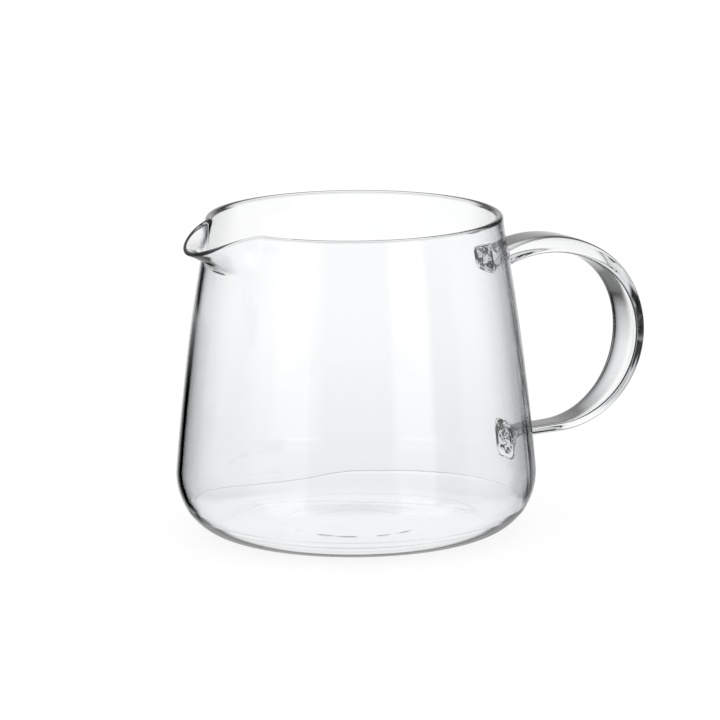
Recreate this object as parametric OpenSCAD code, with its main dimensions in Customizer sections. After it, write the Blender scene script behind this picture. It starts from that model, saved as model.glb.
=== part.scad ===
// Coffee server carafe: a blown glass vessel, wide at the base, with a spout pulled
// out of its rim, and a strap handle of solid glass welded to the wall at two places.
// Frame: +Z up, origin at the middle of the standing ring, handle towards +X and
// spout towards -X. Millimetres.

/* [Vessel] */
// Height from the table to the top of the rim
body_h = 102.5; // [90:0.5:125]
// Widest outside diameter, just above the base
base_d = 116; // [108:1:130]
// Outside diameter at the rim
rim_d = 94.5; // [84:0.5:98]
// Thickness of the blown wall
wall_t = 1.8; // [1.4:0.1:2.2]
// Thickness of the floor at its middle
floor_t = 1.6; // [1.4:0.1:3]
// Diameter of the fire-polished bead that ends the wall
bead_d = 2.4; // [2.3:0.1:3]
// Radius of the gentle outward bow of the wall, seen in section
bow_r = 900; // [500:50:2000]
// Radius of the upper part of the base corner
shoulder_r = 21; // [18:0.5:26]
// Radius of the lower part of the base corner
foot_r = 17; // [13:0.5:19]
// Angle below the horizontal at which one corner radius hands over to the other
corner_turn = 28; // [15:1:40]
// Width of the flat ring that the vessel stands on
ring_w = 3; // [2:0.5:6]
// Rise of the floor inside the standing ring
punt_h = 0.6; // [0.4:0.1:2]
// Inner moulded ring under the floor, as a share of the raised floor's radius
inner_ring_share = 0.45; // [0.35:0.01:0.55]
// Outer moulded ring under the floor, as a share of the raised floor's radius
outer_ring_share = 0.83; // [0.7:0.01:0.86]
// Width of each moulded ring
mould_ring_w = 3; // [2:0.2:4]
// Depth of each moulded ring
mould_ring_t = 0.2; // [0.1:0.1:0.5]

/* [Spout] */
// How far the lip reaches out past the round rim
lip_reach = 12.6; // [8:0.1:15]
// How far the tip of the lip lies below the rim
lip_drop = 6; // [4:0.1:8]
// Half the angle of the rim that the lip takes up
lip_half_angle = 24; // [18:1:30]
// Height of the wall that is drawn when the spout is pulled
drawn_h = 32; // [26:1:38]
// How far the wall below the lip draws in as the spout is pulled
draw_in = 0.8; // [0.2:0.1:1.4]

/* [Handle] */
// How far the middle of the loop lies outside the widest part of the wall
loop_out = 14.4; // [12:0.2:20]
// Height of the middle of the loop, as a share of the body's height
loop_z_share = 0.546; // [0.52:0.001:0.57]
// Radius of the loop's outer run along the strap's middle, as a share of the body's height
loop_r_share = 0.293; // [0.27:0.0005:0.31]
// Radius of the arm over the top along the strap's middle, as a share of the body's height
arm_r_share = 0.383; // [0.365:0.001:0.42]
// Strap width at the upper weld
strap_w_top = 13.4; // [11:0.2:16]
// Strap width at the grip
strap_w_grip = 15.4; // [12:0.2:18]
// Strap width at the lower weld
strap_w_low = 10; // [8:0.2:13]
// Strap thickness at the upper weld
strap_t_top = 6.2; // [5:0.1:7.5]
// Strap thickness at the grip
strap_t_grip = 4.3; // [3.6:0.1:5.5]
// Strap thickness at the lower weld
strap_t_low = 2.8; // [2.4:0.1:4]
// Width of the upper weld where it spreads on the wall
upper_weld_w = 14.8; // [13.8:0.2:18]
// Height of the upper weld on the wall
upper_weld_h = 12; // [10:0.5:14]
// How far the upper weld's middle lies above the strap's
upper_weld_rise = 3; // [0:0.1:3.5]
// Width of the lower weld where it spreads on the wall
lower_weld_w = 13; // [11:0.2:16]
// Height of the lower weld on the wall
lower_weld_h = 13; // [10:0.5:14]
// How far the lower weld's middle lies below the strap's
lower_weld_fall = 1.8; // [0:0.1:2.5]
// How far each weld stands out from the wall
weld_reach = 3.6; // [3:0.2:5]

/* [Hidden] */
$fn = 96;

// Colours as the clear glass shows
glass = [0.93, 0.95, 0.96, 0.4];
weld_glass = [0.86, 0.9, 0.9, 0.5];

// Sizes that follow from the ones above
overrun = body_h / 100;
bead_r = bead_d / 2;
half_wall = wall_t / 2;
collar_z = body_h - bead_r - drawn_h;
let_in = wall_t / 36;

// The wall in section is three arcs, each tangent to the next: foot, shoulder, bow
function dir(a) = [cos(a), sin(a)];
foot_c = [base_d / 2 - shoulder_r + (shoulder_r - foot_r) * cos(corner_turn), foot_r];
shoulder_c = foot_c - (shoulder_r - foot_r) * dir(-corner_turn);
rim_pt = [rim_d / 2, body_h];
rim_dir = rim_pt - shoulder_c;
bow_side = bow_r - shoulder_r;
bow_turn = acos((norm(rim_dir) ^ 2 + bow_side ^ 2 - bow_r ^ 2) / (2 * norm(rim_dir) * bow_side));
bow_start = atan2(rim_dir.y, rim_dir.x) + bow_turn - 180;
bow_c = shoulder_c - bow_side * dir(bow_start);

// The bow's angle at a height, on the middle of the wall, and the angles that use it
function bow_angle(z) = asin((z - bow_c.y) / (bow_r - half_wall));
bead_a = bow_angle(body_h - bead_r);
collar_a = bow_angle(collar_z);
// The bead swells out of the wall at this angle round its own centre
bead_seat = -acos(half_wall / bead_r);
bead_dip = -bead_r * sin(bead_seat);
wall_end_a = bow_angle(body_h - bead_r - bead_dip);
bead_c = bow_c + (bow_r - half_wall) * dir(bead_a);

// Points of an arc from angle a to b in n steps
function arc(c, r, a, b, n) = [for (i = [0:n]) c + r * dir(a + (b - a) * i / n)];
function skip_first(v) = [for (i = [1:len(v) - 1]) v[i]];

// One face of the wall, outside at inset 0 and inside at inset wall_t, from the floor up
function wall_face(inset) = concat(
    arc(foot_c, foot_r - inset, -90, -corner_turn, 8),
    skip_first(arc(shoulder_c, shoulder_r - inset, -corner_turn, bow_start, 6)),
    skip_first(arc(bow_c, bow_r - inset, bow_start, wall_end_a, 8)));
function backwards(v) = [for (i = [len(v) - 1:-1:0]) v[i]];

// The floor's underside rises from the standing ring, with a groove at each moulded ring
ring_in = foot_c.x - ring_w;
punt_r = ring_in - ring_w;
inner_floor_z = punt_h + floor_t;
function under_z(r) = punt_h * (1 - 3 / 4 * r / punt_r);
function moulded_ring(r) = [for (s = [-1, 0, 1])
    [r + s * mould_ring_w / 2, under_z(r + s * mould_ring_w / 2) + (1 - abs(s)) * mould_ring_t]];
bead_steps = 10;
bead_pts = arc(bead_c, bead_r, bead_a + bead_seat, bead_a + 180 - bead_seat, bead_steps);

// The whole outside, filled in, which the welds are fitted against
fit_facets = 4 * $fn;
module outside_solid() {
    rotate_extrude($fn = fit_facets)
        polygon(concat([[0, 0]], wall_face(0), [[bead_c.x, body_h - bead_dip], [0, body_h - bead_dip]]));
}

// The blown vessel before its spout is pulled
module blown_body() {
    rotate_extrude()
        polygon(concat(
            [[0, punt_h]],
            moulded_ring(inner_ring_share * punt_r),
            moulded_ring(outer_ring_share * punt_r),
            [[punt_r, under_z(punt_r)], [ring_in, 0]],
            wall_face(0),
            [for (i = [1:bead_steps - 1]) bead_pts[i]],
            backwards(wall_face(wall_t)),
            [[punt_r, wall_t + (inner_floor_z - wall_t) / 4], [0, inner_floor_z]]));
}

// The spout is a lofted sheet of glass. Share v runs up the wall from the collar to the
// bead, and angle b runs round it from the middle of the spout.
sector_half = 45;
sector_lap = 1.5;
lip_start_share = 0.6;
lip_curl_power = 1.25;
lip_plan_power = 1.7;
lip_fall_power = 2.5;
draw_half_angle = 42;
nudge_share = 0.002;
nudge_angle = 0.05;

function within(x) = max(0, 1 - x * x);
function lip_share(v) = v <= lip_start_share ? 0
    : ((v - lip_start_share) / (1 - lip_start_share)) ^ lip_curl_power;
function reach_share(b) = within(b / lip_half_angle) ^ lip_plan_power;
function drop_share(b) = within(b / lip_half_angle) ^ lip_fall_power;
function draw_share(b, v) = v <= 0 ? 0 : within(b / draw_half_angle) ^ 2 * sin(180 * min(v, 1)) ^ 2;

// Middle of the glass at v and b, as [distance from the axis, height]
function mid_rz(v, b) =
    let (p = bow_c + (bow_r - half_wall) * dir(collar_a + (bead_a - collar_a) * v))
    [p.x + lip_reach * reach_share(b) * lip_share(v) - draw_in * draw_share(b, v),
     p.y - lip_drop * drop_share(b) * lip_share(v)];
function mid_pt(v, b) =
    let (p = mid_rz(v, b))
    [-p.x * cos(b), -p.x * sin(b), p.y];
function unit(v) = v / norm(v);
function up_dir(v, b) = unit(mid_pt(v + nudge_share, b) - mid_pt(v - nudge_share, b));
function out_dir(v, b) =
    unit(cross(mid_pt(v, b + nudge_angle) - mid_pt(v, b - nudge_angle), up_dir(v, b)));

// Heights and angles at which the sheet has points: close together round the lip
wall_end_share = (wall_end_a - collar_a) / (bead_a - collar_a);
sheet_steps = 15;
crowd_power = 0.7;
lap_share = 2 * overrun / drawn_h;
sheet_v = concat([-lap_share, 0],
    [for (i = [1:sheet_steps]) wall_end_share * (i / sheet_steps) ^ crowd_power]);
lip_steps = 13;
side_steps = 4;
side_angles = [for (i = [side_steps - 1:-1:0]) lip_half_angle
    + (sector_half - lip_half_angle) * (i + 1) / side_steps];
sheet_b = concat(
    [-sector_half - sector_lap], [for (a = side_angles) -a],
    [for (i = [-lip_steps:lip_steps]) lip_half_angle * i / lip_steps],
    backwards(side_angles), [sector_half + sector_lap]);

// The sheet is let into the blown body by a hair's breadth round its three cut edges
function at_edge(v, b) = v <= 0 || abs(b) >= sector_half ? 1 : 0;
function sheet_ring(b) =
    let (
        outer = [for (v = sheet_v) mid_pt(v, b) + (half_wall - let_in * at_edge(v, b)) * out_dir(v, b)],
        inner = [for (v = sheet_v) mid_pt(v, b) - (half_wall - let_in * at_edge(v, b)) * out_dir(v, b)],
        r = bead_r - let_in * at_edge(1, b),
        n = out_dir(1, b),
        u = up_dir(1, b),
        bead = [for (i = [1:bead_steps - 1])
            let (a = bead_seat + (180 - 2 * bead_seat) * i / bead_steps)
            mid_pt(1, b) + r * (cos(a) * n + sin(a) * u)])
    concat(outer, bead, backwards(inner));

// Triangles between closed rings of n points each, and over the two end rings
function tube_faces(rings, n) = [for (j = [0:rings - 2]) for (i = [0:n - 1])
    let (a = j * n + i, b = j * n + (i + 1) % n)
    for (f = [[a, b, b + n], [a, b + n, a + n]]) f];
function sheet_cap(first, n, side) = [for (i = [0:side - 2])
    let (a = first + i, z = first + n - 1 - i)
    for (f = [[a, z, z - 1], [a, z - 1, a + 1]]) f];
function fan(first, from, to) = [for (i = [from + 1:to - 1]) [first + from, first + i + 1, first + i]];
function turned(faces) = [for (f = faces) [f[0], f[2], f[1]]];

module spout_sheet() {
    rings = [for (b = sheet_b) sheet_ring(b)];
    n = len(rings[0]);
    side = len(sheet_v);
    last = (len(rings) - 1) * n;
    start_cap = concat(sheet_cap(0, n, side), fan(0, side - 1, n - side));
    end_cap = turned(concat(sheet_cap(last, n, side), fan(last, side - 1, n - side)));
    polyhedron(
        points = [for (r = rings) each r],
        faces = concat(tube_faces(len(rings), n), start_cap, end_cap));
}

module vessel() color(glass) {
    union() {
        difference() {
            blown_body();
            // the part of the wall that the spout sheet takes the place of
            rotate([0, 0, 180 - sector_half])
                rotate_extrude(angle = 2 * sector_half)
                    translate([rim_d / 3, collar_z])
                        square([base_d / 2 - rim_d / 3 + overrun, body_h]);
        }
        spout_sheet();
    }
}

// The strap's middle line, as arcs and one straight run. Each station holds
// [distance from the axis, height, angle that the strap's outer face looks to].
loop_x = base_d / 2 + loop_out;
loop_z = loop_z_share * body_h;
loop_r = loop_r_share * body_h;
arm_r = arm_r_share * body_h;
arm_turn = 60;
low_turn = -88;
arm_c = [loop_x, loop_z] + (loop_r - arm_r) * dir(arm_turn);
low_pt = [loop_x, loop_z] + loop_r * dir(low_turn);
low_dir = [sin(low_turn), -cos(low_turn)];

// Outside radius of the wall at a height above the shoulder, and on the shoulder
function wall_r(z) = bow_c.x + sqrt(bow_r ^ 2 - (z - bow_c.y) ^ 2);
function shoulder_wall_r(z) = shoulder_c.x + sqrt(shoulder_r ^ 2 - (z - shoulder_c.y) ^ 2);

// Where the middle line meets the wall, found by a few turns of correction
function arm_angle_at(r) = 180 - acos((arm_c.x - r) / arm_r);
function arm_seat(r, turns) = turns == 0 ? r
    : arm_seat(wall_r(arm_c.y + arm_r * sin(arm_angle_at(r))), turns - 1);
arm_wall_r = arm_seat(rim_d / 2, 6);
arm_wall_a = arm_angle_at(arm_wall_r);
low_wall_z = low_pt.y + low_dir.y / low_dir.x * (base_d / 2 - low_pt.x);
low_wall_r = low_wall_z < shoulder_c.y + shoulder_r * sin(bow_start) ? shoulder_wall_r(low_wall_z)
    : wall_r(low_wall_z);

// The strap starts and ends where the welds stop
arm_start_a = arm_wall_a - weld_reach / arm_r * 180 / PI;
low_len = (low_wall_r + weld_reach - low_pt.x) / low_dir.x;
arm_len = arm_r * (arm_start_a - arm_turn) * PI / 180;
loop_len = loop_r * (arm_turn - low_turn) * PI / 180;
strap_len = arm_len + loop_len + low_len;

arm_steps = 14;
loop_steps = 26;
low_steps = 5;
function station(p, a, s) = [p.x, p.y, a, s / strap_len];
stations = concat(
    [for (i = [0:arm_steps - 1]) let (a = arm_start_a + (arm_turn - arm_start_a) * i / arm_steps)
        station(arm_c + arm_r * dir(a), a, arm_len * i / arm_steps)],
    [for (i = [0:loop_steps]) let (a = arm_turn + (low_turn - arm_turn) * i / loop_steps)
        station([loop_x, loop_z] + loop_r * dir(a), a, arm_len + loop_len * i / loop_steps)],
    [for (i = [1:low_steps])
        station(low_pt + low_dir * low_len * i / low_steps, low_turn,
                arm_len + loop_len + low_len * i / low_steps)]);

// Width and thickness along the strap pass smoothly through the three named sizes
function ease(a, b, s) = a + (b - a) * (1 - cos(180 * s)) / 2;
function along(top, grip, low, s) = s < 0.5 ? ease(top, grip, 2 * s) : ease(grip, low, 2 * s - 1);
function strap_w(s) = along(strap_w_top, strap_w_grip, strap_w_low, s);
function strap_t(s) = along(strap_t_top, strap_t_grip, strap_t_low, s);

// A flattened oval, between an ellipse and a rectangle, w across and t thick
section_steps = 20;
squareness = 2.5;
function signed_root(c) = sign(c) * abs(c) ^ (2 / squareness);
function oval(w, t) = [for (i = [0:section_steps - 1])
    let (a = 360 * i / section_steps)
    [w / 2 * signed_root(cos(a)), t / 2 * signed_root(sin(a))]];

// An oval of width w and thickness t stood on the middle line at p, facing angle a
function placed(p, a, w, t) = [for (q = oval(w, t)) [p.x + q.y * cos(a), q.x, p.y + q.y * sin(a)]];

module loft(rings) {
    n = len(rings[0]);
    last = (len(rings) - 1) * n;
    polyhedron(
        points = [for (r = rings) each r],
        faces = turned(concat(
            tube_faces(len(rings), n), fan(0, 0, n - 1), turned(fan(last, 0, n - 1)))));
}

module handle() color(glass)
    loft([for (s = stations) placed([s[0], s[1]], s[2], strap_w(s[3]), strap_t(s[3]))]);

// A weld spreads from the strap's end, at p facing angle a, down to the wall and a
// little past it, and the vessel's outside then trims it to the wall's own curve
weld_steps = 9;
weld_flare_power = 1.9;
weld_sink = weld_reach * 2 / 3;
module weld(p, a, into, from, to, shift) {
    rings = [for (i = [0:weld_steps])
        let (s = i / weld_steps,
             spread = min(1, s * (1 + weld_sink / weld_reach)) ^ weld_flare_power,
             size = from + (to - from) * spread)
        placed(p + into * (weld_reach + weld_sink) * s + [0, shift * spread], a, size.x, size.y)];
    difference() {
        loft(cross(dir(a), into) > 0 ? backwards(rings) : rings);
        outside_solid();
    }
}

module upper_weld() color(weld_glass) {
    s = stations[0];
    weld([s[0], s[1]], s[2], [-sin(s[2]), cos(s[2])], [strap_w_top, strap_t_top],
         [upper_weld_w, upper_weld_h], upper_weld_rise);
}

module lower_weld() color(weld_glass) {
    s = stations[len(stations) - 1];
    weld([s[0], s[1]], s[2], low_dir, [strap_w_low, strap_t_low],
         [lower_weld_w, lower_weld_h], -lower_weld_fall);
}

vessel();
handle();
upper_weld();
lower_weld();
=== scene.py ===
# %% [markdown]
# # A glass coffee server, from frame to finish
# This lesson dresses a coffee server in Blender. The real object is a blown glass
# vessel with a spout pulled out of its rim, and a strap of solid glass that is welded
# to the wall at two places and serves as the handle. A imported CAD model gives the
# frame: its four solids say where each piece is and how large. Glass shows every facet
# as a break in what is seen through it, so each piece is made again here as a fine,
# smooth mesh that follows the same curves, and stands for its solid.

# %% Load the frame
import math

import bmesh
import bpy
import numpy as np
from mathutils import Matrix, Vector


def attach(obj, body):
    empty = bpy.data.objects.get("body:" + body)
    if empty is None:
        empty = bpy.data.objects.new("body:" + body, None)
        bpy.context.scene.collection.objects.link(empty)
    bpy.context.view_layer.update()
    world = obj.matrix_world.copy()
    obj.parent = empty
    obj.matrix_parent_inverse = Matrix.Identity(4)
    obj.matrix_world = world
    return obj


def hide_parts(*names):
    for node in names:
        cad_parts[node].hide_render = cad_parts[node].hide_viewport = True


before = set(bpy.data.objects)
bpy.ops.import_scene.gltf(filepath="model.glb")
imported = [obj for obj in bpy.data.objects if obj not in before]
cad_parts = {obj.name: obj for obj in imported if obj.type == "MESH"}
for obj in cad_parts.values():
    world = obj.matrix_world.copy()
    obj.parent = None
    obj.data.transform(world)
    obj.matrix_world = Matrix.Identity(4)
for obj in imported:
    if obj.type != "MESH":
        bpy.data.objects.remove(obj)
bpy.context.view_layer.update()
MM = 0.001
print("CAD nodes:", sorted(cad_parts))

# %% [markdown]
# ## The sizes
# The pieces follow the solids, so they start from the same sizes in millimetres. The
# wall in section is three arcs, each tangent to the next: a tight foot, a wider
# shoulder, and the long shallow bow of the wall. Two centres follow from the height
# and the diameters, and the third from a triangle whose three sides are known.

# %% Wall sizes
BODY_H, BASE_D, RIM_D = 102.5, 116.0, 94.5
WALL_T, FLOOR_T, BASE_T, BEAD_R = 1.8, 1.6, 1.8, 1.2
BOW_R, SHOULDER_R, FOOT_R, INNER_CORNER_R = 900.0, 21.0, 17.0, 15.2
CORNER_TURN, RING_W, PUNT_H = 28.0, 3.0, 0.6
HALF_WALL = WALL_T / 2


def direction(angle):
    """The unit vector at an angle in degrees."""
    return np.array([math.cos(math.radians(angle)), math.sin(math.radians(angle))])


foot_c = np.array([BASE_D / 2 - SHOULDER_R, FOOT_R])
foot_c[0] += (SHOULDER_R - FOOT_R) * math.cos(math.radians(CORNER_TURN))
shoulder_c = foot_c - (SHOULDER_R - FOOT_R) * direction(-CORNER_TURN)
to_rim = np.array([RIM_D / 2, BODY_H]) - shoulder_c
bow_side, rim_side = BOW_R - SHOULDER_R, np.linalg.norm(to_rim)
bow_turn = math.degrees(math.acos(
    (rim_side ** 2 + bow_side ** 2 - BOW_R ** 2) / (2 * rim_side * bow_side)))
bow_start = math.degrees(math.atan2(to_rim[1], to_rim[0])) + bow_turn - 180
bow_c = shoulder_c - bow_side * direction(bow_start)
corner_z, corner_side = BASE_T + INNER_CORNER_R, SHOULDER_R - WALL_T - INNER_CORNER_R
corner_turn = -math.degrees(math.asin((shoulder_c[1] - corner_z) / corner_side))
corner_c = shoulder_c + corner_side * direction(corner_turn)


def bow_angle(z):
    """Angle of the bow, in degrees, where the middle of the wall is at height z."""
    return math.degrees(math.asin((z - bow_c[1]) / (BOW_R - HALF_WALL)))


def wall_radius(z):
    """Outside radius of the wall at height z, on the bow or on the shoulder."""
    if z < shoulder_c[1] + SHOULDER_R * math.sin(math.radians(bow_start)):
        return shoulder_c[0] + math.sqrt(SHOULDER_R ** 2 - (z - shoulder_c[1]) ** 2)
    return bow_c[0] + math.sqrt(BOW_R ** 2 - (z - bow_c[1]) ** 2)


print(f"wall radius at mid height {wall_radius(BODY_H / 2):.2f} mm")

# %% [markdown]
# ## The vessel
# The vessel is one sheet of glass. A lathe profile would give everything but the spout,
# which the glassmaker pulls out of the hot rim. So the sheet's middle surface is
# written as a function of two numbers: how far up the wall, and the angle round it
# from the spout. The lip's reach and drop fade out over its half angle. The two faces
# of the glass then stand half a wall's thickness off the middle, along its normal.

# %% The wall's middle surface
DRAWN_H = 32.0
LIP_REACH, LIP_DROP, DRAW_IN = 12.6, 6.0, 0.8
LIP_HALF_ANGLE, DRAW_HALF_ANGLE, LIP_START = 24.0, 42.0, 0.6
bead_a, collar_a = bow_angle(BODY_H - BEAD_R), bow_angle(BODY_H - BEAD_R - DRAWN_H)


def fade(x, power):
    """1 in the middle and 0 from x = 1 on, on both sides."""
    return np.maximum(0, 1 - x * x) ** power


def wall_middle(v, b):
    """Middle of the glass at share v of the drawn height and angle b, an array of points."""
    v, b = np.broadcast_arrays(np.asarray(v, float), np.asarray(b, float))
    angle = np.radians(collar_a + (bead_a - collar_a) * v)
    radius = bow_c[0] + (BOW_R - HALF_WALL) * np.cos(angle)
    height = bow_c[1] + (BOW_R - HALF_WALL) * np.sin(angle)
    lip = np.maximum(0, (v - LIP_START) / (1 - LIP_START)) ** 1.25
    draw = np.sin(np.pi * np.clip(v, 0, 1)) ** 2
    radius = radius + LIP_REACH * fade(b / LIP_HALF_ANGLE, 1.7) * lip
    radius = radius - DRAW_IN * fade(b / DRAW_HALF_ANGLE, 2) * draw
    height = height - LIP_DROP * fade(b / LIP_HALF_ANGLE, 2.5) * lip
    turn = np.radians(b)
    return np.stack([-radius * np.cos(turn), -radius * np.sin(turn), height], axis=-1)


def unit(v):
    return v / np.linalg.norm(v, axis=-1, keepdims=True)


def wall_frame(v, b, near_v=0.002, near_b=0.05):
    """Point, outward normal and upward direction of the middle surface."""
    up = unit(wall_middle(v + near_v, b) - wall_middle(v - near_v, b))
    out = unit(np.cross(wall_middle(v, b + near_b) - wall_middle(v, b - near_b), up))
    return wall_middle(v, b), out, up


print("lip's middle at the tip:", np.round(wall_middle(1, 0), 1))

# %% [markdown]
# The mesh is a stack of rings of points, from the middle of the floor's underside up
# the outer face, over the rim and down the inner face. All rings share one set of
# angles, which lie closer together at the spout, where the surface turns most.

# %% The rings of points that make the vessel
AROUND, CROWDING = 300, 20
UP_WALL, CROWD_POWER = 52, 0.62
turns = np.linspace(-math.pi, math.pi, AROUND, endpoint=False)
angles = np.degrees(turns) - CROWDING * np.sin(turns)
shares = np.linspace(0, 1, UP_WALL) ** CROWD_POWER


def lathe_ring(radius, z):
    """A level ring of points at the angles that the whole vessel shares."""
    b = np.radians(angles)
    radius = np.broadcast_to(radius, b.shape)
    return np.stack([-radius * np.cos(b), -radius * np.sin(b), np.broadcast_to(z, b.shape)], -1)


def arc_rings(centre, radius, start, end, count):
    """Level rings along one arc of the profile, without its first point."""
    rings = []
    for i in range(1, count + 1):
        p = centre + radius * direction(start + (end - start) * i / count)
        rings.append(lathe_ring(p[0], p[1]))
    return rings


print(f"{AROUND} points round, {UP_WALL} rings up the drawn wall")

# %% [markdown]
# The rim was melted round in a flame, so the wall swells into a bead there. At the lip
# the glass was stretched, and the bead is drawn thin. Both are changes of one value,
# half the thickness of the glass, so one function of height and angle gives them.

# %% The wall's two faces and the rim
BEAD_RUN, LIP_THINNING, BEAD_STEPS = 0.16, 0.42, 16
bead_r = BEAD_R * (1 - LIP_THINNING * fade(angles / LIP_HALF_ANGLE, 1.2))


def smooth(x):
    """0 below 0 and 1 above 1, with a smooth rise between."""
    x = np.clip(x, 0, 1)
    return x * x * (3 - 2 * x)


def half_glass(v):
    """Half the glass at share v: the wall's, and the bead's at the rim."""
    return HALF_WALL + (bead_r - HALF_WALL) * smooth((v - 1 + BEAD_RUN) / BEAD_RUN)


def wall_rings(side):
    """Rings on the outer (side 1) or inner (side -1) face of the drawn wall."""
    rings = []
    for v in shares[1:]:
        point, out, up = wall_frame(v, angles)
        rings.append(point + side * half_glass(v)[:, None] * out)
    return rings


def bead_rings():
    """The fire-polished rim ends in a half round."""
    point, out, up = wall_frame(1, angles)
    stops = [math.pi * i / BEAD_STEPS for i in range(1, BEAD_STEPS)]
    return [point + bead_r[:, None] * (math.cos(a) * out + math.sin(a) * up) for a in stops]


print(f"the bead is {2 * bead_r.min():.1f} to {2 * bead_r.max():.1f} mm thick")

# %% [markdown]
# The floor is pushed up a little in its middle, so that the vessel stands on a ring.
# Pressing leaves low rings in the glass there, which show as fine concentric lines. A
# few gentle rises on the underside are enough, because the floor is seen at a very
# flat angle, where glass bends the light most. The middle one is broken in places, and
# is clearest on the side that faces the viewer.

# %% The floor's rings
RING_IN = foot_c[0] - RING_W
FRONT_ANGLE, ROUNDED = 241.5, 0.35
FLOOR_RINGS = ((14.5, 1.6, 0.003, False), (23.5, 0.8, 0.12, True), (33.5, 1.4, 0.006, False))
turn = (angles - FRONT_ANGLE + 180) % 360 - 180
front = 0.5 - 0.5 * np.cos(np.radians(turn))


def punt(r):
    """How far the floor is pushed up at radius r: an even slope, rounded at its ends."""
    s = np.clip(r / RING_IN, 0, 1)
    return PUNT_H * (ROUNDED * (1 - smooth(s)) + (1 - ROUNDED) * (1 - s))


def under_floor(r):
    """Heights of the floor's underside at radius r, round the whole ring."""
    rise = punt(r) + 0 * turn
    dashes = 0.5 + 0.5 * np.sin(np.radians(11 * turn)) * np.sin(np.radians(4 * turn + 70))
    for at, width, height, broken in FLOOR_RINGS:
        share = (0.05 + 0.95 * front ** 2) * dashes if broken else 1
        rise = rise + height * share * np.exp(-((r - at) / width) ** 2)
    return np.maximum(0, rise)


def over_floor(r):
    """Height of the floor's upper face at radius r, from the middle to the corner."""
    return float(punt(r) + FLOOR_T + (BASE_T - FLOOR_T) * smooth(r / RING_IN))


print(f"the floor rises {PUNT_H} mm inside radius {RING_IN:.1f} mm")

# %% [markdown]
# The mould's bottom plate meets its sides on the foot, and leaves a fine raised line
# there. It wanders a little and is stronger in some places, because the two never
# close quite evenly. Its height and strength are given at a few angles and run
# straight between them. The rings near the line are crowded, so that its slopes, which
# make it visible, are smooth.

# %% The mould's seam
SEAM_LOW, SEAM_HIGH = -56.0, -30.5
SEAM_RISE, SEAM_HALF = 0.12, 0.22
SEAM_AT = [-120, -66, -44, -35, -27, -18, -9, 2, 10, 17, 24, 30, 39, 48, 56, 72, 120]
SEAM_Z = [7.3, 8.0, 7.7, 7.5, 7.25, 7.0, 6.6, 6.5, 5.8, 5.0, 4.7, 4.7, 4.95, 5.6, 6.3, 7.2, 7.3]
SEAM_SHARE = [0.15, 0.5, 0.6, 0.7, 0.9, 1.0, 1.0, 0.95, 0.8, 0.7, 0.65, 0.6, 0.55, 0.5,
              0.5, 0.45, 0.15]


def seam_rings():
    """Rings on the foot's arc from SEAM_LOW to SEAM_HIGH degrees, crowded at the seam."""
    middle = np.degrees(np.arcsin((np.interp(turn, SEAM_AT, SEAM_Z) - foot_c[1]) / FOOT_R))
    strength = SEAM_RISE * np.interp(turn, SEAM_AT, SEAM_SHARE)
    half = math.degrees(SEAM_HALF / FOOT_R)
    stations = [SEAM_LOW + (middle - half - SEAM_LOW) * x for x in (0.33, 0.66, 1.0)]
    stations += [middle + half * x for x in np.linspace(-1, 1, 9)[1:]]
    stations += [middle + half + (SEAM_HIGH - middle - half) * x for x in (0.5, 1.0)]
    rings = []
    for a in stations:
        radius = FOOT_R + strength * fade((a - middle) / half, 2)
        a = np.radians(a)
        rings.append(lathe_ring(foot_c[0] + radius * np.cos(a), foot_c[1] + radius * np.sin(a)))
    return rings


print(f"the seam runs at {min(SEAM_Z)} to {max(SEAM_Z)} mm above the table")

# %% [markdown]
# The two faces are put together arc by arc, in the order in which the profile runs.
# Each arc has as many rings as its turn needs.

# %% Collect the rings
CENTRE_R, FLOOR_STEPS, STANDING_STEPS = 0.6, 70, 5
FOOT_STEPS, SHOULDER_STEPS, BOW_STEPS, CORNER_STEPS = 16, 16, 18, 26
floor_radii = np.concatenate([np.linspace(CENTRE_R, RING_IN, FLOOR_STEPS),
                              np.linspace(RING_IN, foot_c[0], STANDING_STEPS)[1:]])
outer = [lathe_ring(r, under_floor(r)) for r in floor_radii]
outer += arc_rings(foot_c, FOOT_R, -90, SEAM_LOW, FOOT_STEPS)
outer += seam_rings()
outer += arc_rings(foot_c, FOOT_R, SEAM_HIGH, -CORNER_TURN, 1)
outer += arc_rings(shoulder_c, SHOULDER_R, -CORNER_TURN, bow_start, SHOULDER_STEPS)
outer += arc_rings(bow_c, BOW_R, bow_start, collar_a, BOW_STEPS)
outer += wall_rings(1)
inner_radii = np.linspace(CENTRE_R, corner_c[0], FLOOR_STEPS + STANDING_STEPS - 1)
inner = [lathe_ring(r, over_floor(r)) for r in inner_radii]
inner += arc_rings(corner_c, INNER_CORNER_R, -90, corner_turn, CORNER_STEPS)
inner += arc_rings(shoulder_c, SHOULDER_R - WALL_T, corner_turn, bow_start, SHOULDER_STEPS)
inner += arc_rings(bow_c, BOW_R - WALL_T, bow_start, collar_a, BOW_STEPS)
inner += wall_rings(-1)
print(len(outer), "outer rings,", len(inner), "inner rings")

# %% [markdown]
# A closed mesh of rings needs only one helper: quads between each ring and the next,
# and a fan of triangles where the rings end in a point. The faces are shaded smooth,
# so that the light bends evenly across them. A surface of revolution from a curve
# would be shorter to write, but it couldn't carry the spout.

# %% Build meshes from rings
def signed_volume(piece):
    """Volume in cubic centimetres, negative where the faces look inwards."""
    mesh = piece.data
    mesh.calc_loop_triangles()
    total = 0.0
    for t in mesh.loop_triangles:
        a, b, c = (mesh.vertices[i].co for i in t.vertices)
        total += a.dot(b.cross(c)) / 6
    return total * 1e6


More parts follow.
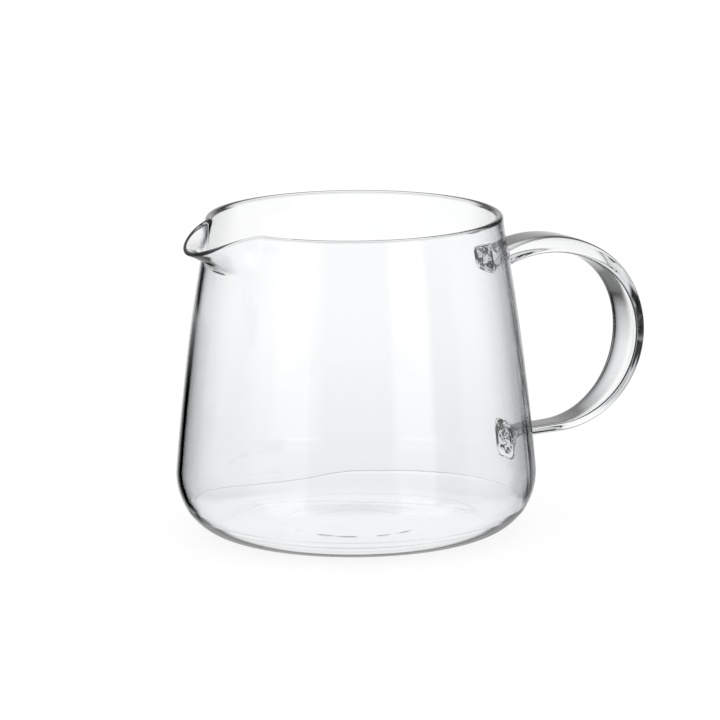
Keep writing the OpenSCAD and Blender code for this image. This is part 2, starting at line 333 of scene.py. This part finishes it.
def ring_mesh(name, rings, cap_start, cap_end):
    """A piece from closed rings of points in millimetres, each end closed by a cap point."""
    n = len(rings[0])
    points = np.concatenate(rings + [np.array([cap_start, cap_end])])
    faces = []
    for j in range(len(rings) - 1):
        a = j * n
        faces += [(a + i, a + (i + 1) % n, a + n + (i + 1) % n, a + n + i) for i in range(n)]
    last, start_tip, end_tip = (len(rings) - 1) * n, len(rings) * n, len(rings) * n + 1
    faces += [(start_tip, (i + 1) % n, i) for i in range(n)]
    faces += [(last + i, last + (i + 1) % n, end_tip) for i in range(n)]
    mesh = bpy.data.meshes.new(name)
    mesh.from_pydata((points * MM).tolist(), [], faces)
    mesh.polygons.foreach_set("use_smooth", [True] * len(mesh.polygons))
    mesh.update()
    piece = bpy.data.objects.new(name, mesh)
    bpy.context.scene.collection.objects.link(piece)
    if signed_volume(piece) < 0:
        mesh.flip_normals()
    print(f"{name}: {len(mesh.polygons)} faces, {signed_volume(piece):.2f} cubic cm of glass")
    return piece


vessel = ring_mesh("blown_vessel", outer + bead_rings() + inner[::-1],
                   [0, 0, PUNT_H], [0, 0, over_floor(0)])

# %% [markdown]
# ## The strap handle
# The handle is drawn from one gather of hot glass: flat like a strap, with rounded
# edges, wide at the grip and thin where it is drawn out at the bottom. Its middle line
# is an arc over the top, a tighter arc round the grip and a short straight run back to
# the wall. A flattened oval is swept along that line. A sweep by hand keeps full
# control of the width and thickness at every station, which a curve's bevel doesn't.

# %% The strap's middle line
LOOP_OUT, LOOP_Z_SHARE, LOOP_R_SHARE, ARM_R_SHARE = 14.4, 0.546, 0.293, 0.383
LOOP_C = np.array([BASE_D / 2 + LOOP_OUT, LOOP_Z_SHARE * BODY_H])
LOOP_R, ARM_R = LOOP_R_SHARE * BODY_H, ARM_R_SHARE * BODY_H
ARM_TURN, LOW_TURN, WELD_REACH = 60.0, -88.0, 3.6
arm_c = LOOP_C + (LOOP_R - ARM_R) * direction(ARM_TURN)
low_pt = LOOP_C + LOOP_R * direction(LOW_TURN)
low_dir = np.array([math.sin(math.radians(LOW_TURN)), -math.cos(math.radians(LOW_TURN))])


def arm_wall_angle():
    """Angle on the arm's arc where the strap's middle meets the wall."""
    r = RIM_D / 2
    for _ in range(6):
        a = 180 - math.degrees(math.acos((arm_c[0] - r) / ARM_R))
        r = wall_radius(arm_c[1] + ARM_R * math.sin(math.radians(a)))
    return 180 - math.degrees(math.acos((arm_c[0] - r) / ARM_R))


arm_start = arm_wall_angle() - math.degrees(WELD_REACH / ARM_R)
low_z = low_pt[1] + low_dir[1] / low_dir[0] * (BASE_D / 2 - low_pt[0])
low_len = (wall_radius(low_z) + WELD_REACH - low_pt[0]) / low_dir[0]
arm_len = ARM_R * math.radians(arm_start - ARM_TURN)
loop_len = LOOP_R * math.radians(ARM_TURN - LOW_TURN)
strap_len = arm_len + loop_len + low_len


def strap_station(s):
    """Point of the middle line and the angle its outer face looks to, at share s."""
    d = s * strap_len
    if d < arm_len:
        a = arm_start - math.degrees(d / ARM_R)
        return arm_c + ARM_R * direction(a), a
    if d < arm_len + loop_len:
        a = ARM_TURN - math.degrees((d - arm_len) / LOOP_R)
        return LOOP_C + LOOP_R * direction(a), a
    return low_pt + low_dir * (d - arm_len - loop_len), LOW_TURN


print(f"strap {strap_len:.1f} mm long, from angle {arm_start:.1f} degrees")

# %% [markdown]
# The strap's width and thickness pass smoothly through three sizes. Its section lies
# between an ellipse and a rectangle: nearly flat sides with quickly rounded edges make
# the inside mirror light completely, and that shows as a dark band along the edge. The
# band is partly this mirroring and partly painted shade in the strap's glass colour.

# %% Sweep the strap
WIDTHS, THICKNESSES = (13.4, 15.4, 10.0), (6.2, 4.3, 2.8)
SECTION, STATIONS, SQUARENESS = 56, 150, 5.0


def along(sizes, s):
    """Passes smoothly through the size at the top, at the grip and at the bottom."""
    top, grip, low = sizes
    a, b, x = (top, grip, 2 * s) if s < 0.5 else (grip, low, 2 * s - 1)
    return a + (b - a) * (1 - math.cos(math.pi * x)) / 2


def oval(w, t):
    """A flattened oval between an ellipse and a rectangle, w across and t thick."""
    a = np.linspace(0, 2 * math.pi, SECTION, endpoint=False)
    c, s = np.cos(a), np.sin(a)
    return (w / 2 * np.sign(c) * np.abs(c) ** (2 / SQUARENESS),
            t / 2 * np.sign(s) * np.abs(s) ** (2 / SQUARENESS))


def placed(p, angle, w, t):
    """The oval stood on the middle line at p, facing an angle in the handle's plane."""
    across, off = oval(w, t)
    d = direction(angle)
    return np.stack([p[0] + off * d[0], across, p[1] + off * d[1]], -1)


strap_rings = []
for s in np.linspace(0, 1, STATIONS):
    p, a = strap_station(s)
    strap_rings.append(placed(p, a, along(WIDTHS, s), along(THICKNESSES, s)))
handle = ring_mesh("strap_handle", strap_rings,
                   strap_rings[0].mean(axis=0), strap_rings[-1].mean(axis=0))

# %% [markdown]
# ## The welds
# Where the strap was melted on to the wall, it spreads into a flared foot. The flare
# runs from the strap's end ring to a ring that lies exactly on the wall, so the two
# surfaces meet without a step. A Boolean union would fuse them, but it leaves ragged
# slivers where two curved skins meet, and glass shows each of them.

# %% Flare each weld down to the wall
UPPER_FOOT, UPPER_Z = (13.8, 12.4), 85.7
LOWER_FOOT, LOWER_Z = (12.6, 13.0), 23.2
FLARE_POWER, FLARE_STEPS = 1.9, 26
HIDDEN = 1
footprints = []


def on_wall(y, z):
    """The point of the outer wall at this y and z, on the handle's side."""
    r = np.array([wall_radius(h) for h in z])
    return np.stack([np.sqrt(r ** 2 - y ** 2), y, z], -1)


def weld(name, s, from_size, foot_size, foot_z):
    """A weld from the strap's end at share s down to its footprint on the wall."""
    p, a = strap_station(s)
    start = placed(p, a, *from_size)
    across, off = oval(*foot_size)
    facing = 1 if a > 0 else -1
    foot = on_wall(across, foot_z + facing * off)
    rings = []
    for i in range(FLARE_STEPS + 1):
        x = i / FLARE_STEPS
        side = (foot - start) * (x ** FLARE_POWER - x)
        side[:, 0] = 0
        rings.append(start + (foot - start) * x + side)
    for x in (0.75, 0.5, 0.25):
        rings.append(on_wall(across * x, foot_z + facing * off * x))
    piece = ring_mesh(name, rings, start.mean(axis=0),
                      on_wall(np.zeros(1), np.array([foot_z]))[0])
    for polygon in piece.data.polygons:
        on_foot = min(polygon.vertices) >= FLARE_STEPS * SECTION
        if on_foot or len(polygon.vertices) == 3:
            polygon.material_index = HIDDEN
    footprints.append((foot_size, foot_z))
    return piece


upper_weld = weld("upper_weld_flare", 0, (WIDTHS[0], THICKNESSES[0]), UPPER_FOOT, UPPER_Z)
lower_weld = weld("lower_weld_flare", 1, (WIDTHS[2], THICKNESSES[2]), LOWER_FOOT, LOWER_Z)
for polygon in handle.data.polygons:
    if len(polygon.vertices) == 3:
        polygon.material_index = HIDDEN
print(len(footprints), "welds on the wall")

# %% [markdown]
# ## Glass
# Clear borosilicate is almost colourless, bends light with an index of 1.47, and shows
# mostly through what it mirrors and bends. Node maths reads best as ordinary Python, so
# one small class wraps a socket: adding or multiplying two of them adds a Math node.

# %% Wrap sockets for shader maths
class Value:
    """A socket of numbers that can be used in Python sums."""

    def __init__(self, finish, socket):
        self.finish, self.socket = finish, socket

    def math(self, operation, other=None, flipped=False):
        ends = [self] if other is None else [other, self] if flipped else [self, other]
        return self.finish.node("ShaderNodeMath", {"operation": operation}, dict(enumerate(ends)))

    def __add__(self, other):
        return self.math("ADD", other)

    def __sub__(self, other):
        return self.math("SUBTRACT", other)

    def __rsub__(self, other):
        return self.math("SUBTRACT", other, flipped=True)

    def __mul__(self, other):
        return self.math("MULTIPLY", other)

    def __truediv__(self, other):
        return self.math("DIVIDE", other)

    def __pow__(self, other):
        return self.math("POWER", other)

    def __abs__(self):
        return self.math("ABSOLUTE")

    __radd__, __rmul__ = __add__, __mul__


class Finish:
    """A material whose nodes are added one call at a time."""

    def __init__(self, name):
        self.material = bpy.data.materials.new(name)
        self.material.use_nodes = True
        self.tree = self.material.node_tree
        self.tree.nodes.clear()
        self.output = self.tree.nodes.new("ShaderNodeOutputMaterial")

    def node(self, kind, settings=None, inputs=None, output=0):
        """Adds a node: its settings first, then the values or links of its sockets."""
        made = self.tree.nodes.new(kind)
        for key, value in (settings or {}).items():
            setattr(made, key, value)
        for key, value in (inputs or {}).items():
            if isinstance(value, Value):
                self.tree.links.new(value.socket, made.inputs[key])
            else:
                made.inputs[key].default_value = value
        return Value(self, made.outputs[output])

    def place(self):
        """Where a point lies on its own object."""
        return self.node("ShaderNodeTexCoord", output=3)

    def axes(self):
        """The three coordinates of that place, each as a value."""
        parts = self.node("ShaderNodeSeparateXYZ", {}, {0: self.place()}).socket.node
        return [Value(self, socket) for socket in parts.outputs]

    def surface(self, shader):
        self.tree.links.new(shader.socket, self.output.inputs["Surface"])
        return self.material


print("finishes are ready to be mixed")

# %% [markdown]
# Most finishes change over a surface in three ways: a smooth step from one value to
# another, a blend of two colours, and a bump of soft waves from noise. Each gets a
# helper of one node or two.

# %% Steps, blends and waves
def ramp(value, start, end):
    """0 below start and 1 above end, smooth between, also where end is the smaller."""
    return value.finish.node("ShaderNodeMapRange", {"interpolation_type": "SMOOTHSTEP"}, {
        "Value": value, "From Min": start, "From Max": end, "To Min": 0.0, "To Max": 1.0})


def blend(share, one, other):
    """The first colour where share is 0, and the other where it is 1."""
    return share.finish.node("ShaderNodeMix", {"data_type": "RGBA", "blend_type": "MIX"}, {
        0: share, 6: one, 7: other}, output=2)


def noise(finish, stretch, scale, detail):
    """Random values that change slowly along an axis whose stretch is small."""
    place = finish.node("ShaderNodeVectorMath", {"operation": "MULTIPLY"}, {
        0: finish.place(), 1: stretch})
    return finish.node("ShaderNodeTexNoise", {}, {
        "Vector": place, "Scale": scale, "Detail": detail})


def waves(finish, stretch, scale, depth, share=1.0, lean=0.0):
    """A bump of soft waves, depth metres deep, on a surface that may lean."""
    height = noise(finish, stretch, scale, 1.5) * share + lean
    return finish.node("ShaderNodeBump", {}, {
        "Strength": 1.0, "Distance": depth, "Height": height})


print("three helpers for what changes over a surface")

# %% [markdown]
# The wall is clear, and a little greyer towards the base, where the glass is thickest.
# Beside the handle it was heated again for the welding, and fine upright streaks stay
# in it. The drawn strap has faint waves along its length. Light that runs along the
# inside of a tight curve is trapped and never comes back out; the dark edge that this
# gives is painted shade: the colour is blended to black where the surface is seen
# nearly along itself. The bump alone couldn't give that, however deep it is.

# %% The glass finishes
CLEAR, THICK = (0.985, 0.988, 0.992, 1), (0.968, 0.972, 0.978, 1)
# The black below is painted shade, for the dark edges and the pockets' chips.
PAINTED_SHADE_BLACK, SILVER = (0.01, 0.01, 0.01, 1), (0.98, 0.98, 0.98, 1)
GLASS_IOR = 1.47
STREAKS_X, STREAKS_Y = (36 * MM, 43 * MM), (-17 * MM, -23 * MM)
STREAK_DEPTH, STRAP_WAVE_DEPTH, STREAKS_ELSEWHERE = 0.13 * MM, 0.02 * MM, 0.05


def glass(finish, colour, normal=None):
    bumped = {} if normal is None else {"Normal": normal}
    return finish.node("ShaderNodeBsdfPrincipled", {}, {
        "Base Color": colour, "Roughness": 0.0, "IOR": GLASS_IOR,
        "Transmission Weight": 1.0, **bumped})


def painted_dark_edge(finish, colour, start, end):
    """Painted shade: a colour that turns black where the glass is seen along its surface."""
    edge = finish.node("ShaderNodeLayerWeight", {}, {"Blend": 0.5}, output=1)
    return blend(ramp(edge, start, end), colour, PAINTED_SHADE_BLACK)


# The strap and the welds have painted shade: their colour turns black along the edges.
def strap_glass(name):
    finish = Finish(name)
    return finish.surface(glass(finish, painted_dark_edge(finish, CLEAR, 0.42, 0.62),
                                waves(finish, (1, 2, 1), 70, STRAP_WAVE_DEPTH)))


def wall_glass(finish):
    x, y, height = finish.axes()
    by_handle = ramp(x, *STREAKS_X) * ramp(y, *STREAKS_Y) + STREAKS_ELSEWHERE
    return glass(finish, blend(ramp(height, 10 * MM, 2 * MM), CLEAR, THICK),
                 waves(finish, (1, 1, 0.05), 260, STREAK_DEPTH, by_handle))


fused = Finish("fused seam")
fused_through = fused.surface(fused.node("ShaderNodeBsdfTransparent", {}, {"Color": (1, 1, 1, 1)}))
wall = Finish("vessel glass")
vessel.data.materials.append(wall.surface(wall_glass(wall)))
for piece in (handle, upper_weld, lower_weld):
    piece.data.materials.append(strap_glass(piece.name + " glass"))
    piece.data.materials.append(fused_through)
print("glass on", len([vessel, handle, upper_weld, lower_weld]), "pieces")

# %% [markdown]
# Hot glass that is melted together becomes one body, with no surface left between the
# parts. In the mesh the strap, the welds and the wall are separate pieces, and a
# surface between two of them would mirror and bend light as the real object doesn't.
# So the hidden ends of the strap and the welds let light straight through. Where the
# strap was pressed on to the wall, the two never fuse evenly: pockets of air stay
# between them. Their walls mirror the light completely, so they look like crumpled
# silver with a few black chips. They are made as crumpled silver metal, and the black
# chips are painted shade in its colour.

# %% Fuse the wall and the welds
FOOT_POWER, POCKETS_REACH = 2.5, 0.5
FOLD_DEPTH, FOLD_SCALE, LEAN_ACROSS, LEAN_UP = 0.5 * MM, 420, 0.4, 0.35
weld_area = Finish("vessel glass under the welds")
_, y, height = weld_area.axes()
inside = core = 0.0
for (foot_w, foot_h), foot_z in footprints:
    side = abs(y / (foot_w / 2 * MM)) ** FOOT_POWER
    rise = abs((height - foot_z * MM) / (foot_h / 2 * MM)) ** FOOT_POWER
    inside = (side + rise).math("LESS_THAN", 1.0) + inside
    core = (side + rise).math("LESS_THAN", POCKETS_REACH) + core
# The black chips in the pockets are painted shade in the silver's colour.
chips = ramp(noise(weld_area, (1, 1, 0.6), FOLD_SCALE, 3), 0.61, 0.64)
lean = (y * LEAN_ACROSS + height * LEAN_UP) / FOLD_DEPTH
pockets = weld_area.node("ShaderNodeBsdfPrincipled", {}, {
    "Base Color": blend(chips, SILVER, PAINTED_SHADE_BLACK), "Metallic": 1.0, "Roughness": 0.1,
    "Normal": waves(weld_area, (1, 1, 1), FOLD_SCALE, FOLD_DEPTH, 1.0, lean)})
through = weld_area.node("ShaderNodeBsdfTransparent", {}, {"Color": (1, 1, 1, 1)})
fused_part = weld_area.node("ShaderNodeMixShader", {}, {0: core, 1: through, 2: pockets})
vessel.data.materials.append(weld_area.surface(weld_area.node(
    "ShaderNodeMixShader", {}, {0: inside, 1: wall_glass(weld_area), 2: fused_part})))

UNDER_WELD, WELD_HALF_W, WELD_HALF_H = 1, 9.5 * MM, 9 * MM
outer_faces = vessel.data.polygons[:(len(outer) - 1) * AROUND]
under_welds = 0
for polygon in outer_faces:
    x, y, z = polygon.center
    if x > 0 and abs(y) < WELD_HALF_W and any(
            abs(z - at * MM) < WELD_HALF_H for _, at in footprints):
        polygon.material_index = UNDER_WELD
        under_welds += 1
print(under_welds, "faces of the wall lie at the welds")

# %% [markdown]
# The foot's glass is bent so tightly that light which enters near its edge is carried
# round inside the wall and never comes back out. That leaves a dark outline, about one
# millimetre wide, under the whole vessel, and here the outline is painted shade: the
# colour is blended to black where the surface is seen nearly along itself. The round
# rim gets the same painted shade on a small scale, and the lip's thin bead on a smaller
# one.

# %% The painted dark outline of the foot, the rim and the lip
AT_FOOT, AT_RIM, AT_LIP = 2, 3, 4
FOOT_TOP, LIP_BEAD_ANGLE = 9.5 * MM, 1.5 * LIP_HALF_ANGLE
# Each of these three glasses has painted shade: its colour turns black along the edge.
for name, colour, start, end in (
        ("vessel glass at the foot, painted dark edge", THICK, 0.63, 0.71),
        ("vessel glass at the rim, painted dark edge", CLEAR, 0.42, 0.56),
        ("vessel glass at the lip, painted dark edge", CLEAR, 0.6, 0.75)):
    finish = Finish(name)
    painted_outline = glass(finish, painted_dark_edge(finish, colour, start, end))
    vessel.data.materials.append(finish.surface(painted_outline))
at_foot = 0
for polygon in outer_faces:
    x, y, z = polygon.center
    if z < FOOT_TOP and math.hypot(x, y) > foot_c[0] * MM:
        polygon.material_index = AT_FOOT
        at_foot += 1
first_bead = len(outer_faces)
for polygon in vessel.data.polygons[first_bead:first_bead + AROUND * BEAD_STEPS]:
    at_lip = abs(angles[polygon.index % AROUND]) < LIP_BEAD_ANGLE
    polygon.material_index = AT_LIP if at_lip else AT_RIM
print(at_foot, "faces make the foot and", AROUND * BEAD_STEPS, "the rim")

# %% [markdown]
# ## The frame
# Nothing on the server moves, so all four pieces ride on its one body. Each stands for
# the solid of the same name, which is hidden.

# %% Let the pieces ride on the frame
for piece, node, slot in ((vessel, "vessel", "glass"), (handle, "handle", "glass"),
                          (upper_weld, "upper_weld", "weld_glass"),
                          (lower_weld, "lower_weld", "weld_glass")):
    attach(piece, "root")
    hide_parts(node)
print("four pieces ride on the root body")

# %% [markdown]
# ## The camera
# The camera stands where the photograph was taken from: well above the rim, almost two
# metres away, with the handle turned 28.5 degrees away from it. Its own roll is half a
# degree, so its three axes are written out and not left to a constraint.

# %% Place the camera
PHOTO = 720
FOCAL, SHIFT = 6030 / PHOTO, 4.8 / PHOTO
CAMERA_AT = (-0.9066, -1.6697, 0.4386)
pitch, roll, heading = (math.radians(angle) for angle in (11.411, 0.462, 28.5))
ahead = Vector((math.sin(heading) * math.cos(pitch),
                math.cos(heading) * math.cos(pitch), -math.sin(pitch)))
right = Vector((math.cos(heading), -math.sin(heading), 0))
up = right.cross(ahead)
right, up = (right * math.cos(roll) - up * math.sin(roll),
             up * math.cos(roll) + right * math.sin(roll))
camera = bpy.data.objects.new("camera", bpy.data.cameras.new("camera"))
camera.data.lens = FOCAL * camera.data.sensor_width
camera.data.shift_x = SHIFT
camera.data.clip_start, camera.data.clip_end = 0.05, 20
turned = Matrix((right, up, -ahead)).transposed().to_4x4()
camera.matrix_world = Matrix.Translation(CAMERA_AT) @ turned
bpy.context.scene.collection.objects.link(camera)
bpy.context.scene.camera = camera
print("lens", round(camera.data.lens, 1), "mm")

# %% [markdown]
# ## The studio
# Clear glass is lit by what it shows, not by what falls on it. Photographers stand it
# before a white card with darkness on both sides: the wall then looks clear, and the
# edges, which bend the light sideways, turn into thin dark lines. Here a large dome
# round the object is painted with that card, the dark sides and two soft boxes. Only
# what glass mirrors or bends sees it. It is carried by the camera, as if the object
# stood on a turntable in a fixed studio.

# %% Hang the dome
DOME_R, DOME_AHEAD = 0.6, 1.95
dome_mesh = bpy.data.meshes.new("dome of cards")
shell = bmesh.new()
bmesh.ops.create_uvsphere(shell, u_segments=64, v_segments=32, radius=DOME_R)
shell.to_mesh(dome_mesh)
shell.free()
dome = bpy.data.objects.new("dome_of_cards", dome_mesh)
bpy.context.scene.collection.objects.link(dome)
dome.parent = camera
dome.location = (0, 0, -DOME_AHEAD)
dome.visible_camera = dome.visible_diffuse = dome.visible_shadow = False
dome.visible_volume_scatter = False
print("the dome has a radius of", DOME_R, "m")

# %% [markdown]
# The cards stand in bands, one above the other. A band is a ramp of brightness round
# the room, by azimuth: 0 is away from the camera, and the soft boxes stand behind it on
# both sides. The bands run from the wall of cards at eye level to the ones below, where
# the foot and the floor look. A picture of a studio would be quicker, but it couldn't
# be turned and shaded card by card.

# %% Paint the cards
DEG = 180 / math.pi
cards = Finish("cards")
x, y, z = (axis / DOME_R for axis in cards.axes())
azimuth = x.math("ARCTAN2", z * -1.0) * DEG
elevation = y.math("ARCSINE") * DEG


def round_the_room(stops):
    """Brightness by azimuth, from (degrees, brightness) stops."""
    made = cards.node("ShaderNodeValToRGB", {}, {0: azimuth / 360 + 0.5})
    elements = made.socket.node.color_ramp.elements
    while len(elements) < len(stops):
        elements.new(0.5)
    for element, (degrees, level) in zip(elements, stops):
        element.position = degrees / 360 + 0.5
        element.color = (level, level, level, 1)
    return made


def mixed(one, other, share):
    return one * (1.0 - share) + other * share


eye_level = round_the_room([
    (-180, 0.68), (-152, 0.68), (-149, 1.25), (-118, 1.15), (-104, 0.68), (-66, 0.65),
    (-58, 0.4), (-50, 0.12), (-37, 0.0), (-24, 0.0), (-20, 0.4), (-16, 0.82), (-9, 1.03),
    (7, 1.03), (12, 0.88), (17, 0.66), (25, 0.42), (32, 0.05), (41, 0.0), (48, 0.1),
    (60, 0.35), (70, 0.66), (104, 0.68), (112, 0.2), (127, 0.2), (131, 1.2), (155, 1.2),
    (158, 0.68), (180, 0.68)])
high = round_the_room([
    (-180, 0.8), (-60, 0.75), (-36, 0.5), (-26, 0.5), (-18, 0.9), (-9, 1.03),
    (9, 1.03), (18, 0.9), (24, 0.5), (30, 0.1), (42, 0.08), (50, 0.25), (70, 0.7), (180, 0.8)])
box_height = round_the_room([
    (-180, 0.75), (-150, 0.8), (-147, 1.8), (-120, 1.8), (-116, 0.8), (-60, 0.68),
    (-42, 0.6), (-39, 0.0), (-29, 0.0), (-25, 0.6), (-15, 0.6), (-7, 0.5), (7, 0.5),
    (15, 0.6), (30, 0.68), (60, 0.68), (112, 0.2), (127, 0.2), (131, 1.8), (151, 1.8),
    (154, 0.8), (180, 0.75)])
below = round_the_room([
    (-180, 0.7), (-150, 0.75), (-145, 1.45), (-122, 1.45), (-116, 0.75), (-30, 0.75),
    (-10, 0.95), (10, 0.95), (30, 0.75), (110, 0.75), (116, 1.45), (148, 1.45),
    (153, 0.75), (180, 0.7)])
TABLE_LEVEL, CEILING_LEVEL = 0.85, 0.75
level = mixed(eye_level, high, ramp(elevation, 0, 9)) * (0.88 + 0.12 * ramp(elevation, -5, 3))
level = mixed(level, box_height, ramp(elevation, -14, -17))
level = mixed(level, below, ramp(elevation, -20, -24))
level = mixed(level, TABLE_LEVEL, ramp(elevation, -33, -42))
level = mixed(level, CEILING_LEVEL, ramp(elevation, 48, 72))
print("four bands of cards, a table and a ceiling")

# %% [markdown]
# One small black flag stands on the left, above eye level: the handle's near edge
# looks there. What is dark is also a little blue, as in a room with daylight.

# %% Add the flag and light the cards
FLAG_DEPTH = 0.97
flag = (ramp(azimuth, -43, -39) * ramp(azimuth, -20, -24)
        * ramp(elevation, 4, 6) * ramp(elevation, 20, 16))
level = level * (1.0 - FLAG_DEPTH * flag)
tint = blend(level, (0.93, 0.965, 1.0, 1), (1, 1, 1, 1))
dome_mesh.materials.append(cards.surface(cards.node("ShaderNodeEmission", {}, {
    "Color": tint, "Strength": level})))
print("the cards have", len(cards.tree.nodes), "nodes")

# %% [markdown]
# The floor is white paper that melts into a white room. It keeps a soft shadow, but
# the glass doesn't see it, because the dome gives all that the glass shows. The paper
# glows by itself, so that it is white without a lamp whose highlight the wall would
# carry, and the room's even light makes the rest.

# %% The floor and the light
FLOOR_SIZE, BELOW_GLASS = 12, 0.1 * MM
PAPER, PAPER_GLOW = (0.16, 0.16, 0.16, 1), 0.87
bpy.ops.mesh.primitive_plane_add(size=FLOOR_SIZE, location=(0, 0, -BELOW_GLASS))
floor = bpy.context.object
floor.name = "floor"
floor.visible_glossy = floor.visible_transmission = False
paper = Finish("white paper")
matt = paper.node("ShaderNodeBsdfDiffuse", {}, {"Color": PAPER})
glow = paper.node("ShaderNodeEmission", {}, {"Color": (1, 1, 1, 1), "Strength": PAPER_GLOW})
lit_paper = paper.node("ShaderNodeAddShader", {}, {0: matt, 1: glow})
floor.data.materials.append(paper.surface(lit_paper))

world = bpy.data.worlds.new("white room")
bpy.context.scene.world = world
world.use_nodes = True
background = world.node_tree.nodes["Background"]
background.inputs["Color"].default_value = (1, 1, 1, 1)
background.inputs["Strength"].default_value = 1.0
bpy.context.scene.view_settings.view_transform = "Standard"
print("floor and room are white")
